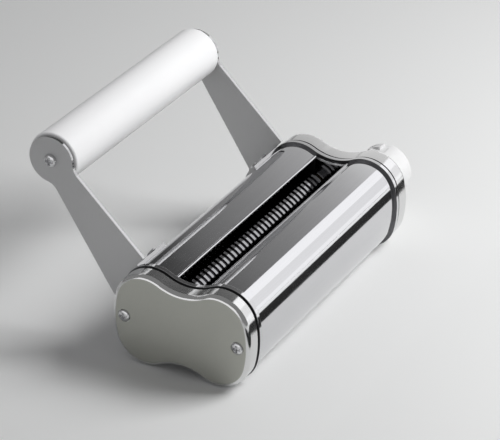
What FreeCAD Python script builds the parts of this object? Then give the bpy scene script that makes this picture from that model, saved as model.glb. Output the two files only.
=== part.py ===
import FreeCAD, Part
import math
import os
import types
import Sketcher

# A spaghetti cutter head for a mixer's outlet. X runs along the rollers and out of the drive hub, Y points
# from the driven front roller to the rear one and the guide bracket, Z is up. The origin lies on the front
# roller's axis, where the round seat of the drive hub begins.

# Driving sizes in millimetres, unless the name says degrees, teeth or sides.
SIZES = {
    # frame
    "clear_width": 150.5,
    "plate_thickness": 2.5,
    "plate_lip": 0.5,
    "plate_step": 1.0,
    "gasket_thickness": 1.5,
    "gasket_inset": 0.6,
    "gasket_width": 3.0,
    "near_cap_depth": 8.6,
    "far_cap_depth": 10.25,
    "cap_wall": 1.6,
    "cap_edge_radius": 2.5,
    # outline shared by caps, plates, gaskets and covers
    "corner_radius": 17.4,
    "corner_reach": 7.15,
    "corner_rise": 7.7,
    "side_radius": 52.0,
    "valley_radius": 26.8,
    # covers
    "cover_inset": 1.0,
    "cover_wall": 1.0,
    "slot_width": 19.0,
    "hem_radius": 0.9,
    # tie rods and cap screws
    "cap_boss_gap": 0.5,
    "cap_screw_radius": 2.0,
    "cap_screw_head_radius": 3.25,
    "cap_screw_head_height": 2.0,
    "cap_screw_recess": 0.8,
    "screw_head_gap": 0.2,
    "cap_boss_radius": 4.0,
    "tie_rod_radius": 3.2,
    "tie_rod_thread_depth": 10.0,
    # gears, rollers and their bearings
    "gear_module": 1.5,
    "gear_teeth": 17,
    "gear_width": 6.0,
    "gear_gap": 0.8,
    "gear_backlash": 0.15,
    "strand_width": 2.2,
    "strand_height": 1.6,
    "ring_overlap": 0.9,
    "ring_side_gap": 0.2,
    "ring_sides": 16,
    "journal_radius": 5.0,
    "journal_flat": 1.0,
    "bush_wall": 2.0,
    "bush_flange_width": 2.0,
    "bush_flange_thickness": 1.0,
    "end_play": 0.25,
    "running_gap": 0.05,
    "seat_gap": 0.05,
    "clip_thickness": 1.0,
    "clip_width": 2.5,
    "clip_groove_depth": 0.9,
    "clip_gap": 0.3,
    "clip_mouth": 5.0,
    "journal_tail": 1.2,
    # combs
    "comb_bar_size": 5.0,
    "comb_bar_back": 3.25,
    "comb_bar_drop": 17.5,
    "comb_finger_wall": 1.6,
    "comb_finger_reach": 12.0,
    "comb_finger_bevel": 1.5,
    "comb_gap": 0.3,
    "comb_angle_degrees": 50.0,
    "comb_screw_radius": 1.5,
    "comb_screw_head_radius": 2.6,
    "comb_screw_head_height": 1.8,
    "comb_screw_grip": 8.0,
    # drive hub and coupling
    "hub_radius": 14.5,
    "hub_seat_length": 25.0,
    "hub_relief_length": 2.0,
    "hub_relief_depth": 0.3,
    "hub_wall": 3.5,
    "hub_end_radius": 3.0,
    "hub_flange_radius": 18.5,
    "hub_flange_thickness": 1.5,
    "hub_slot_width": 5.0,
    "hub_slot_length": 12.0,
    "hub_slot_depth": 2.0,
    "hub_screw_circle": 16.3,
    "hub_screw_radius": 1.0,
    "hub_screw_head_radius": 2.0,
    "hub_screw_head_height": 1.2,
    "shaft_reach": 12.0,
    "coupling_gap": 2.0,
    "coupling_radius": 8.0,
    "coupling_length": 14.0,
    "coupling_pin_radius": 1.5,
    "coupling_pin_offset": 6.0,
    "drive_square": 8.0,
    "drive_tail_length": 11.0,
    # guide bracket
    "arm_thickness": 1.8,
    "arm_inset": 1.75,
    "arm_head_radius": 12.4,
    "arm_neck_width": 12.0,
    "arm_neck_fillet": 8.0,
    "arm_foot_front": 28.9,
    "arm_foot_top": 25.4,
    "arm_foot_back": 44.0,
    "arm_foot_drop": 2.0,
    "arm_heel_radius": 3.0,
    "saddle_length": 26.0,
    "saddle_top_degrees": 47.0,
    "saddle_low": 3.0,
    "rivet_radius": 1.5,
    "rivet_head_radius": 2.8,
    "rivet_head_height": 1.2,
    "rivet_tail_radius": 2.2,
    "rivet_tail_height": 0.6,
    "rivet_degrees": 30.0,
    "rivet_spacing": 11.0,
    "rivet_start": 9.0,
    "guide_back": 80.8,
    "guide_rise": 66.5,
    "guide_radius": 13.65,
    "guide_edge_radius": 1.0,
    "guide_end_gap": 0.5,
    "rod_radius": 4.0,
    "rod_screw_radius": 2.0,
    "rod_screw_head_radius": 3.5,
    "rod_screw_head_height": 2.2,
    "rod_screw_grip": 8.0,
}


class Dim:
    """A size known both as a number and as the expression that ties it to the sheet."""

    def __init__(self, text, number):
        self.text = text
        self.number = number

    def __add__(self, other):
        other = as_dim(other)
        return Dim(f"({self.text} + {other.text})", self.number + other.number)

    def __sub__(self, other):
        other = as_dim(other)
        return Dim(f"({self.text} - {other.text})", self.number - other.number)

    def __rsub__(self, other):
        return as_dim(other) - self

    def __mul__(self, other):
        other = as_dim(other)
        return Dim(f"({self.text} * {other.text})", self.number * other.number)

    def __truediv__(self, other):
        other = as_dim(other)
        return Dim(f"({self.text} / {other.text})", self.number / other.number)

    def __neg__(self):
        return self * -1

    __radd__ = __add__
    __rmul__ = __mul__


def as_dim(value):
    return value if isinstance(value, Dim) else Dim(repr(float(value)), float(value))


def root(value):
    return Dim(f"sqrt({value.text})", math.sqrt(value.number))


def sine(degrees):
    return Dim(f"sin({degrees.text} * 1 deg)", math.sin(math.radians(degrees.number)))


def cosine(degrees):
    return Dim(f"cos({degrees.text} * 1 deg)", math.cos(math.radians(degrees.number)))


doc = FreeCAD.newDocument("spaghetti_cutter")
sheet = doc.addObject("Spreadsheet::Sheet", "Sizes")
for row, (alias, number) in enumerate(SIZES.items(), start=1):
    sheet.set(f"A{row}", alias)
    sheet.set(f"B{row}", str(number))
    sheet.setAlias(f"B{row}", alias)
doc.recompute()
s = types.SimpleNamespace(**{alias: Dim(f"Sizes.{alias}", float(sheet.get(alias))) for alias in SIZES})

# Stations along X, from the far end cap's face towards the near end.
FAR_FACE = -s.hub_relief_length
FAR_PLATE_OUT = FAR_FACE - s.far_cap_depth - s.gasket_thickness
FAR_PLATE_IN = FAR_PLATE_OUT - s.plate_thickness
NEAR_PLATE_IN = FAR_PLATE_IN - s.clear_width
NEAR_PLATE_OUT = NEAR_PLATE_IN - s.plate_thickness
MID_X = (FAR_PLATE_IN + NEAR_PLATE_IN) / 2
PIN_X = FAR_FACE + s.coupling_gap + s.coupling_pin_offset

# Places across: the rollers' axes, the middle plane between them, and the outline's own centres.
ROLLER_SPACING = s.gear_module * s.gear_teeth
MID_Y = ROLLER_SPACING / 2
RING_RADIUS = (ROLLER_SPACING + s.ring_overlap) / 2
GROOVE_RADIUS = ROLLER_SPACING - RING_RADIUS - s.strand_height
RING_WIDTH = s.strand_width - 2 * s.ring_side_gap
PITCH = s.strand_width + RING_WIDTH
BUSH_RADIUS = s.journal_radius + s.running_gap + s.bush_wall
ROLLER_LENGTH = s.clear_width - 2 * (s.plate_step + s.bush_flange_thickness + s.end_play)
RING_COUNT = int(ROLLER_LENGTH.number / PITCH.number)
CORNER_OFFSET = MID_Y + s.corner_reach
VALLEY_SPAN = s.corner_radius + s.valley_radius
VALLEY_RISE = s.corner_rise + root(VALLEY_SPAN * VALLEY_SPAN - CORNER_OFFSET * CORNER_OFFSET)
SIDE_SPAN = s.side_radius - s.corner_radius
SIDE_CENTRE = CORNER_OFFSET - root(SIDE_SPAN * SIDE_SPAN - s.corner_rise * s.corner_rise)
HALF_WIDTH = SIDE_CENTRE + s.side_radius
HALF_HEIGHT = s.corner_rise + s.corner_radius
SCREW_Y = ROLLER_SPACING + s.gear_module + s.cap_boss_gap + s.cap_boss_radius
COMB_BAR_Y = MID_Y + s.comb_bar_back
SADDLE_RADIUS = s.corner_radius - s.cover_inset + s.seat_gap
FAR_ARM_OUT = FAR_PLATE_IN - s.arm_inset
NEAR_ARM_OUT = NEAR_PLATE_IN + s.arm_inset
ROD_LENGTH = FAR_ARM_OUT - NEAR_ARM_OUT - 2 * s.arm_thickness

sub_parts = []


def bind(thing, path, value):
    thing.setExpression(path, as_dim(value).text)


def place(thing, x, y, z):
    for axis, value in zip("xyz", (x, y, z)):
        bind(thing, f"Placement.Base.{axis}", value)


def new_body(label, x=0, y=0, z=0):
    body = doc.addObject("PartDesign::Body", label)
    body.Label = label
    body.AllowCompound = True
    place(body, x, y, z)
    sub_parts.append(body)
    return body


def origin_feature(body, role):
    return next(feature for feature in body.Origin.OriginFeatures if feature.Role == role)


def attach(feature, body, y=0, z=0, x=0):
    """Seat a feature on the body's YZ plane, so that it runs along X."""
    feature.AttachmentSupport = [(origin_feature(body, "YZ_Plane"), "")]
    feature.MapMode = "FlatFace"
    for axis, value in zip("xyz", (y, z, x)):
        bind(feature, f"AttachmentOffset.Base.{axis}", value)


def primitive(body, kind, name, sizes, y=0, z=0, x=0):
    feature = body.newObject(f"PartDesign::{kind}", name)
    attach(feature, body, y, z, x)
    for prop, value in sizes.items():
        bind(feature, prop, value)
    return feature


def cylinder(body, name, radius, length, y=0, z=0, x=0):
    return primitive(body, "AdditiveCylinder", name, {"Radius": radius, "Height": length}, y, z, x)


def bore(body, name, radius, length, y=0, z=0, x=0):
    return primitive(body, "SubtractiveCylinder", name, {"Radius": radius, "Height": length}, y, z, x)


def block(body, name, y_size, z_size, x_size, y=0, z=0, x=0):
    sizes = {"Length": y_size, "Width": z_size, "Height": x_size}
    return primitive(body, "AdditiveBox", name, sizes, y, z, x)


def notch(body, name, y_size, z_size, x_size, y=0, z=0, x=0):
    sizes = {"Length": y_size, "Width": z_size, "Height": x_size}
    return primitive(body, "SubtractiveBox", name, sizes, y, z, x)


def new_sketch(body, name, x=0):
    sketch = body.newObject("Sketcher::SketchObject", name)
    attach(sketch, body, x=x)
    return sketch


def datum(sketch, value, kind, *points):
    """Add a dimension to a sketch and tie it to the sheet."""
    value = as_dim(value)
    index = sketch.addConstraint(Sketcher.Constraint(kind, *points, value.number))
    bind(sketch, f"Constraints[{index}]", value)


def fix_point(sketch, geometry, end, y=None, z=None):
    """Dimension a point from the sketch's origin, along one axis or both."""
    for kind, axis_line, value in (("DistanceX", -2, y), ("DistanceY", -1, z)):
        if value is None:
            continue
        value = as_dim(value)
        if abs(value.number) < 1e-9:
            sketch.addConstraint(Sketcher.Constraint("PointOnObject", geometry, end, axis_line))
        elif value.number > 0:
            datum(sketch, value, kind, -1, 1, geometry, end)
        else:
            datum(sketch, -value, kind, geometry, end, -1, 1)


def add_circle(sketch, radius, y=0, z=0):
    centre = FreeCAD.Vector(as_dim(y).number, as_dim(z).number)
    up = FreeCAD.Vector(0, 0, 1)
    index = sketch.addGeometry(Part.Circle(centre, up, as_dim(radius).number), False)
    fix_point(sketch, index, 3, y, z)
    datum(sketch, radius, "Radius", index)


def add_polygon(sketch, corners):
    points = [FreeCAD.Vector(as_dim(y).number, as_dim(z).number) for y, z in corners]
    lines = []
    for first, second in zip(points, points[1:] + points[:1]):
        lines.append(sketch.addGeometry(Part.LineSegment(first, second), False))
    for line, following in zip(lines, lines[1:] + lines[:1]):
        sketch.addConstraint(Sketcher.Constraint("Coincident", line, 2, following, 1))
    for line, (y, z) in zip(lines, corners):
        fix_point(sketch, line, 1, y, z)


def add_arc(sketch, centre, radius, start, end):
    circle = Part.Circle(FreeCAD.Vector(*centre), FreeCAD.Vector(0, 0, 1), radius)
    return sketch.addGeometry(Part.ArcOfCircle(circle, start, end), False)


def add_outline(sketch, inset):
    """The caps' outline, drawn in by inset: four corner arcs, two full sides and two hollow valleys."""
    inset = as_dim(inset)
    offset, rise = CORNER_OFFSET.number, s.corner_rise.number
    corner = s.corner_radius - inset
    side = s.side_radius - inset
    valley = s.valley_radius + inset
    low = math.atan2(rise, offset - SIDE_CENTRE.number)
    high = math.atan2(VALLEY_RISE.number - rise, -offset)
    dip = math.pi - high
    side_x, valley_y = SIDE_CENTRE.number, VALLEY_RISE.number
    front = add_arc(sketch, (side_x, 0), side.number, -low, low)
    corner_1 = add_arc(sketch, (offset, rise), corner.number, low, high)
    top = add_arc(sketch, (0, valley_y), valley.number, dip - math.pi, -dip)
    corner_2 = add_arc(sketch, (-offset, rise), corner.number, math.pi - high, math.pi - low)
    back = add_arc(sketch, (-side_x, 0), side.number, math.pi - low, math.pi + low)
    corner_3 = add_arc(sketch, (-offset, -rise), corner.number, math.pi + low, math.pi + high)
    bottom = add_arc(sketch, (0, -valley_y), valley.number, dip, math.pi - dip)
    corner_4 = add_arc(sketch, (offset, -rise), corner.number, -high, -low)
    joins = [
        (front, 2, corner_1, 1),
        (corner_1, 2, top, 2),
        (top, 1, corner_2, 1),
        (corner_2, 2, back, 1),
        (back, 2, corner_3, 1),
        (corner_3, 2, bottom, 2),
        (bottom, 1, corner_4, 1),
        (corner_4, 2, front, 1),
    ]
    for join in joins:
        sketch.addConstraint(Sketcher.Constraint("Tangent", *join))
    fix_point(sketch, corner_1, 3, CORNER_OFFSET, s.corner_rise)
    sketch.addConstraint(Sketcher.Constraint("Symmetric", corner_1, 3, corner_2, 3, -2))
    sketch.addConstraint(Sketcher.Constraint("Symmetric", corner_1, 3, corner_4, 3, -1))
    sketch.addConstraint(Sketcher.Constraint("Symmetric", corner_1, 3, corner_3, 3, -1, 1))
    for other in (corner_2, corner_3, corner_4):
        sketch.addConstraint(Sketcher.Constraint("Equal", corner_1, other))
    sketch.addConstraint(Sketcher.Constraint("Equal", front, back))
    sketch.addConstraint(Sketcher.Constraint("Equal", top, bottom))
    datum(sketch, corner, "Radius", corner_1)
    datum(sketch, side, "Radius", front)
    datum(sketch, valley, "Radius", top)


def pad(body, sketch, length, name, towards=1):
    feature = body.newObject("PartDesign::Pad", name)
    feature.Profile = sketch
    bind(feature, "Length", length)
    feature.Reversed = towards < 0
    return feature


def pocket(body, sketch, name, towards, length=None):
    """Cut a sketch along X, in the direction of towards, to a depth or right through."""
    doc.recompute()
    before = body.Shape.Volume
    feature = body.newObject("PartDesign::Pocket", name)
    feature.Profile = sketch
    feature.Reversed = towards > 0
    if length is None:
        feature.Type = "ThroughAll"
    else:
        bind(feature, "Length", length)
    doc.recompute()
    if not body.Shape.Volume < before:
        raise RuntimeError(f"{body.Label}: {name} cuts nothing")
    return feature


def outline_pad(body, inset, length, name, towards=1, x=0):
    sketch = new_sketch(body, f"{name}_outline", x)
    add_outline(sketch, inset)
    return pad(body, sketch, length, name, towards)


def outline_pocket(body, inset, name, towards, length=None, x=0):
    sketch = new_sketch(body, f"{name}_outline", x)
    add_outline(sketch, inset)
    return pocket(body, sketch, name, towards, length)


def round_edges(body, name, radius, wanted):
    """Round the edges of the body's last feature for which wanted(edge) holds."""
    doc.recompute()
    base = body.Tip
    names = [f"Edge{i}" for i, edge in enumerate(base.Shape.Edges, start=1) if wanted(edge)]
    feature = body.newObject("PartDesign::Fillet", name)
    feature.Base = (base, names)
    bind(feature, "Radius", radius)
    body.Tip = feature
    return feature


def in_plane_x(edge, x):
    return all(abs(vertex.X - x) < 1e-6 for vertex in edge.Vertexes)


def along_x_at(edge, y, z):
    return all(abs(vertex.Y - y) < 1e-6 and abs(vertex.Z - z) < 1e-6 for vertex in edge.Vertexes)


def repeat_along_x(body, feature, pitch, count, name):
    pattern = body.newObject("PartDesign::LinearPattern", name)
    pattern.Originals = [feature]
    pattern.Direction = (origin_feature(body, "X_Axis"), [""])
    bind(pattern, "Length", pitch * (count - 1))
    pattern.Occurrences = count
    feature.Refine = False
    pattern.Refine = False
    body.Tip = pattern
    return pattern


def end_cap(label, back, depth, towards):
    """A cast cap: flat face with a round edge, a hollow behind it and a boss behind each screw."""
    body = new_body(label, back, MID_Y)
    outline_pad(body, 0, depth, "block", towards)
    face = depth * towards
    round_edges(body, "edge", s.cap_edge_radius, lambda edge: in_plane_x(edge, face.number))
    outline_pocket(body, s.cap_wall, "hollow", towards, depth - s.cap_wall)
    bosses = new_sketch(body, "boss_circles")
    holes = new_sketch(body, "screw_circles")
    recesses = new_sketch(body, "recess_circles", face)
    for y in (-SCREW_Y, SCREW_Y):
        add_circle(bosses, s.cap_boss_radius, y)
        add_circle(holes, s.cap_screw_radius + s.seat_gap, y)
        add_circle(recesses, s.cap_screw_head_radius + s.screw_head_gap, y)
    pad(body, bosses, depth - s.cap_wall / 2, "bosses", towards)
    pocket(body, holes, "screw_holes", towards)
    pocket(body, recesses, "screw_recesses", -towards, s.cap_screw_recess)
    return body


def near_end_cap():
    end_cap("near_end_cap", NEAR_PLATE_OUT - s.gasket_thickness, s.near_cap_depth, -1)


def far_end_cap():
    """The far cap is also pierced for the hub's barrel and its small screws."""
    body = end_cap("far_end_cap", FAR_PLATE_OUT + s.gasket_thickness, s.far_cap_depth, 1)
    holes = new_sketch(body, "hub_circles")
    add_circle(holes, s.hub_radius + s.seat_gap, -MID_Y)
    for y, z in hub_screw_places():
        add_circle(holes, s.hub_screw_radius + s.seat_gap, y - MID_Y, z)
    pocket(body, holes, "hub_holes", 1)


def hub_screw_places():
    """Four places round the hub's axis, between the gears and the cap's wall."""
    reach = s.hub_screw_circle * math.sqrt(0.5)
    return [(reach * i, reach * j) for i in (-1, 1) for j in (-1, 1)]


def gasket(label, x):
    body = new_body(label, x, MID_Y)
    outline_pad(body, s.gasket_inset, s.gasket_thickness, "sheet")
    outline_pocket(body, s.gasket_inset + s.gasket_width, "opening", 1)


def side_plate(label, inner_face, outwards):
    """A plate with a step that locates the covers, and holes for bushes, tie rods and comb screws."""
    body = new_body(label, inner_face, MID_Y)
    outline_pad(body, -s.plate_lip, s.plate_thickness, "sheet", outwards)
    outline_pad(body, s.cover_inset + s.cover_wall + s.seat_gap, s.plate_step, "step", -outwards)
    holes = new_sketch(body, "holes", s.plate_step * -outwards)
    for side in (-1, 1):
        add_circle(holes, BUSH_RADIUS + s.seat_gap, MID_Y * side)
        add_circle(holes, s.cap_screw_radius + s.seat_gap, SCREW_Y * side)
        add_circle(holes, s.comb_screw_radius + s.seat_gap, COMB_BAR_Y * side, -s.comb_bar_drop)
    pocket(body, holes, "through_holes", outwards)


def cover(label, side):
    """A curved sheet from the feed slot's lip round to the outlet's lip, with hemmed edges."""
    body = new_body(label, NEAR_PLATE_IN, MID_Y)
    outline_pad(body, s.cover_inset, s.clear_width, "block")
    outline_pocket(body, s.cover_inset + s.cover_wall, "inside", 1)
    lip = s.slot_width / 2 * side
    beyond = HALF_WIDTH * -side
    cut = new_sketch(body, "far_half")
    add_polygon(cut, [(lip, -HALF_HEIGHT), (beyond, -HALF_HEIGHT), (beyond, HALF_HEIGHT), (lip, HALF_HEIGHT)])
    pocket(body, cut, "slot_cut", 1)
    middle = s.valley_radius + s.cover_inset + s.cover_wall / 2
    lip_z = VALLEY_RISE - root(middle * middle - lip * lip)
    clear = s.plate_step + s.clip_gap
    for name, z in (("feed_hem", lip_z), ("outlet_hem", -lip_z)):
        cylinder(body, name, s.hem_radius, s.clear_width - 2 * clear, lip, z, clear)
    return body


def rear_cover():
    """The rear cover is also drilled for the rivets of both arms."""
    body = cover("rear_cover", 1)
    near = [NEAR_ARM_OUT - NEAR_PLATE_IN + offset for offset in rivet_offsets(1)]
    far = [FAR_ARM_OUT - NEAR_PLATE_IN + offset for offset in rivet_offsets(-1)]
    rivet_holes(body, near + far)


def tie_rod(label, y):
    length = s.clear_width - 2 * s.plate_step
    body = new_body(label, NEAR_PLATE_IN + s.plate_step, MID_Y + y)
    cylinder(body, "bar", s.tie_rod_radius, length)
    bore(body, "near_thread", s.cap_screw_radius + s.seat_gap, s.tie_rod_thread_depth)
    bore(
        body,
        "far_thread",
        s.cap_screw_radius + s.seat_gap,
        s.tie_rod_thread_depth,
        x=length - s.tie_rod_thread_depth,
    )


def screws(label, seat, outwards, places, shank, head_radius, head_height, length, domed=False):
    """Like screws as one group: heads stand outwards of their seat, shanks run inwards from it."""
    body = new_body(label, seat)
    head_start = as_dim(0) if outwards > 0 else -head_height
    shank_start = -length if outwards > 0 else as_dim(0)
    for i, (y, z) in enumerate(places):
        cylinder(body, f"head_{i}", head_radius, head_height, y, z, head_start)
        cylinder(body, f"shank_{i}", shank, length, y, z, shank_start)
    if domed:
        top = head_height.number * outwards
        round_edges(body, "domes", head_height * 0.6, lambda edge: in_plane_x(edge, top))


def cap_screws(label, face, outwards, depth):
    through = depth - s.cap_screw_recess + s.gasket_thickness + s.plate_thickness + s.plate_step
    length = through + s.tie_rod_thread_depth - 1
    places = [(MID_Y - SCREW_Y, 0), (MID_Y + SCREW_Y, 0)]
    seat = face - s.cap_screw_recess * outwards
    screws(
        label,
        seat,
        outwards,
        places,
        s.cap_screw_radius,
        s.cap_screw_head_radius,
        s.cap_screw_head_height,
        length,
        domed=True,
    )


def comb_screws(label, plate_face, outwards):
    places = [(MID_Y - COMB_BAR_Y, -s.comb_bar_drop), (MID_Y + COMB_BAR_Y, -s.comb_bar_drop)]
    length = s.plate_thickness + s.plate_step + s.comb_screw_grip
    screws(
        label,
        plate_face,
        outwards,
        places,
        s.comb_screw_radius,
        s.comb_screw_head_radius,
        s.comb_screw_head_height,
        length,
    )


def bush(label, plate_face, inwards, y):
    """A flanged bush, pressed into a plate from the inside."""
    body = new_body(label, plate_face, y)
    length = s.plate_thickness + s.plate_step
    start = as_dim(0) if inwards > 0 else -length
    flange_start = length if inwards > 0 else -length - s.bush_flange_thickness
    cylinder(body, "sleeve", BUSH_RADIUS, length, x=start)
    cylinder(body, "flange", BUSH_RADIUS + s.bush_flange_width, s.bush_flange_thickness, x=flange_start)
    whole = length + s.bush_flange_thickness
    start = as_dim(0) if inwards > 0 else -whole
    bore(body, "bearing", s.journal_radius + s.running_gap, whole, x=start)


def comb(label, roller_y, side, gap_count):
    """A bar behind the outlet with a finger in every groove, laid along the groove's floor."""
    bar_length = s.clear_width - 2 * s.plate_step
    body = new_body(label, NEAR_PLATE_IN + s.plate_step, roller_y)
    half = s.comb_bar_size / 2
    bar_y = s.comb_bar_back * side
    block(body, "bar", s.comb_bar_size, s.comb_bar_size, bar_length, bar_y - half, -s.comb_bar_drop - half)
    threads = s.comb_screw_grip + 1
    for name, x in (("near_thread", as_dim(0)), ("far_thread", bar_length - threads)):
        bore(body, name, s.comb_screw_radius + s.seat_gap, threads, bar_y, -s.comb_bar_drop, x)
    out_y = cosine(s.comb_angle_degrees) * -side
    out_z = -sine(s.comb_angle_degrees)
    along_y = sine(s.comb_angle_degrees) * side
    along_z = -cosine(s.comb_angle_degrees)
    inner = GROOVE_RADIUS + s.comb_gap
    outer = inner + s.comb_finger_wall
    corners = []
    for radius, reach in (
        (inner, as_dim(0)),
        (outer, s.comb_finger_bevel),
        (outer, s.comb_finger_reach),
        (inner, s.comb_finger_reach),
    ):
        corners.append((out_y * radius + along_y * reach, out_z * radius + along_z * reach))
    width = s.strand_width - 2 * s.comb_gap
    first = bar_length / 2 - PITCH * (gap_count - 1) / 2 - width / 2
    sketch = new_sketch(body, "finger_outline", first)
    add_polygon(sketch, corners)
    finger = pad(body, sketch, width, "finger")
    repeat_along_x(body, finger, PITCH, gap_count, "fingers")


def shaft(body, start, towards, steps):
    """Round lengths in a row along X, from start, in the direction of towards."""
    x = start
    for name, radius, length in steps:
        cylinder(body, name, radius, length, x=x if towards > 0 else x - length)
        x = x + length * towards


def roller(label, y, ring_count, far_end, pinned):
    """A ringed cutting roller in one piece with its journals."""
    half = ROLLER_LENGTH / 2
    body = new_body(label, MID_X, y)
    core = {"Circumradius": GROOVE_RADIUS, "Height": ROLLER_LENGTH}
    primitive(body, "AdditivePrism", "core", core, x=-half).Polygon = int(s.ring_sides.number)
    groove = s.journal_radius - s.clip_groove_depth
    groove_width = s.clip_thickness + 2 * s.running_gap
    bearing = s.end_play + s.bush_flange_thickness + s.plate_step + s.plate_thickness + s.clip_gap
    near_steps = [
        ("near_journal", s.journal_radius, bearing),
        ("near_groove", groove, groove_width),
        ("near_tip", s.journal_radius, s.journal_tail),
    ]
    shaft(body, -half, -1, near_steps)
    gear_seat = s.gear_gap + s.gear_width
    far_steps = [
        ("far_journal", s.journal_radius, bearing - s.clip_gap + gear_seat + s.clip_gap),
        ("far_groove", groove, groove_width),
        ("far_tip", s.journal_radius, far_end),
    ]
    shaft(body, half, 1, far_steps)
    flat_start = half + bearing - s.clip_gap + s.gear_gap
    notch(
        body,
        "gear_flat",
        2 * s.journal_radius,
        s.journal_radius,
        s.gear_width,
        -s.journal_radius,
        s.journal_radius - s.journal_flat,
        flat_start,
    )
    if pinned:
        cross_hole(body, "pin_hole", s.coupling_pin_radius + s.seat_gap, s.journal_radius, PIN_X - MID_X)
    first = -PITCH * (ring_count - 1) / 2 - RING_WIDTH / 2
    ring_sizes = {"Circumradius": RING_RADIUS, "Height": RING_WIDTH}
    ring = primitive(body, "AdditivePrism", "ring", ring_sizes, x=first)
    ring.Polygon = int(s.ring_sides.number)
    repeat_along_x(body, ring, PITCH, ring_count, "rings")


def gear_outline(teeth, module, backlash):
    """One closed wire of an involute spur gear in the YZ plane, with a tooth on +Y."""
    pitch_radius = module * teeth / 2
    pressure = math.radians(20)
    base_radius = pitch_radius * math.cos(pressure)
    tip_radius = pitch_radius + module
    foot_radius = pitch_radius - 1.25 * module
    involute = math.tan(pressure) - pressure
    half_tooth = math.pi / (2 * teeth) - backlash / (4 * pitch_radius)

    def point(radius, angle):
        return FreeCAD.Vector(0, radius * math.cos(angle), radius * math.sin(angle))

    def half_angle(radius):
        roll = math.acos(min(1, base_radius / radius))
        return half_tooth + involute - (math.tan(roll) - roll)

    middle_radius = (base_radius + tip_radius) / 2
    edges = []
    for tooth in range(teeth):
        axis = 2 * math.pi * tooth / teeth
        following = axis + 2 * math.pi / teeth
        foot = half_angle(base_radius)
        rising = [point(radius, axis - half_angle(radius)) for radius in (base_radius, middle_radius, tip_radius)]
        falling = [point(radius, axis + half_angle(radius)) for radius in (tip_radius, middle_radius, base_radius)]
        edges.append(Part.makeLine(point(foot_radius, axis - foot), rising[0]))
        edges.append(Part.Arc(*rising).toShape())
        edges.append(Part.Arc(rising[2], point(tip_radius, axis), falling[0]).toShape())
        edges.append(Part.Arc(*falling).toShape())
        edges.append(Part.makeLine(falling[2], point(foot_radius, axis + foot)))
        gap_start = point(foot_radius, axis + foot)
        gap_middle = point(foot_radius, (axis + following) / 2)
        edges.append(Part.Arc(gap_start, gap_middle, point(foot_radius, following - foot)).toShape())
    return Part.Wire(edges)


def gear(label, y):
    """A spur gear with a D-shaped bore that seats on the journal's flat."""
    teeth = int(sheet.get("gear_teeth"))
    module = float(sheet.get("gear_module"))
    width = float(sheet.get("gear_width"))
    seat_gap = float(sheet.get("seat_gap"))
    bore_radius = float(sheet.get("journal_radius")) + seat_gap
    flat = float(sheet.get("journal_radius")) - float(sheet.get("journal_flat")) + seat_gap
    along = FreeCAD.Vector(1, 0, 0)
    blank = Part.Face(gear_outline(teeth, module, float(sheet.get("gear_backlash")))).extrude(along * width)
    hole = Part.makeCylinder(bore_radius, width, FreeCAD.Vector(0, 0, 0), along)
    corner = FreeCAD.Vector(0, -bore_radius, flat)
    hole = hole.cut(Part.makeBox(width, 2 * bore_radius, bore_radius, corner))
    feature = doc.addObject("Part::Feature", label)
    feature.Label = label
    feature.Shape = blank.cut(hole)
    place(feature, FAR_PLATE_OUT + s.gear_gap, y, 0)
    sub_parts.append(feature)


def clip(label, x, y):
    """A sprung retaining ring with an open mouth, seated in a journal's groove."""
    outer = s.journal_radius + s.clip_width
    body = new_body(label, x, y)
    cylinder(body, "disc", outer, s.clip_thickness)
    bore(body, "eye", s.journal_radius - s.clip_groove_depth + s.seat_gap, s.clip_thickness)
    notch(body, "mouth", s.clip_mouth, outer, s.clip_thickness, -s.clip_mouth / 2, -outer)


def drive_hub():
    """A moulded barrel with a flange behind the far cap's face and two bayonet slots at its mouth."""
    body = new_body("drive_hub")
    mouth = s.hub_seat_length + s.hub_end_radius
    neck_start = FAR_FACE - s.cap_wall
    flange_start = neck_start - s.hub_flange_thickness
    cylinder(body, "barrel", s.hub_radius, mouth)
    round_edges(body, "mouth_edge", s.hub_end_radius, lambda edge: in_plane_x(edge, mouth.number))
    cylinder(body, "relief", s.hub_radius - s.hub_relief_depth, s.hub_relief_length, x=FAR_FACE)
    cylinder(body, "neck", s.hub_radius, s.cap_wall, x=neck_start)
    cylinder(body, "flange", s.hub_flange_radius, s.hub_flange_thickness, x=flange_start)
    flat = SCREW_Y - MID_Y - s.cap_boss_radius - s.clip_gap
    side = s.hub_flange_radius - flat
    for name, y in (("front_flat", -s.hub_flange_radius), ("rear_flat", flat)):
        notch(
            body,
            name,
            side,
            2 * s.hub_flange_radius,
            s.hub_flange_thickness,
            y,
            -s.hub_flange_radius,
            flange_start,
        )
    bore(body, "inside", s.hub_radius - s.hub_wall, mouth - flange_start, x=flange_start)
    floor = s.hub_radius - s.hub_slot_depth
    slot_start = mouth - s.hub_slot_length
    half = s.hub_slot_width / 2
    for name, z, lock_y in (("upper", floor, -half), ("lower", -floor - s.hub_wall, -half - s.hub_slot_width)):
        notch(body, f"{name}_slot", s.hub_slot_width, s.hub_wall, s.hub_slot_length, -half, z, slot_start)
        notch(body, f"{name}_lock", 2 * s.hub_slot_width, s.hub_wall, s.hub_slot_width, lock_y, z, slot_start)
    holes = new_sketch(body, "screw_circles", flange_start)
    for y, z in hub_screw_places():
        add_circle(holes, s.hub_screw_radius + s.seat_gap, y, z)
    pocket(body, holes, "screw_holes", 1, s.hub_flange_thickness)


def hub_screws():
    seat = FAR_FACE - s.cap_wall - s.hub_flange_thickness
    length = s.hub_flange_thickness + s.cap_wall
    screws(
        "hub_screws",
        seat,
        -1,
        hub_screw_places(),
        s.hub_screw_radius,
        s.hub_screw_head_radius,
        s.hub_screw_head_height,
        length,
    )


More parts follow.
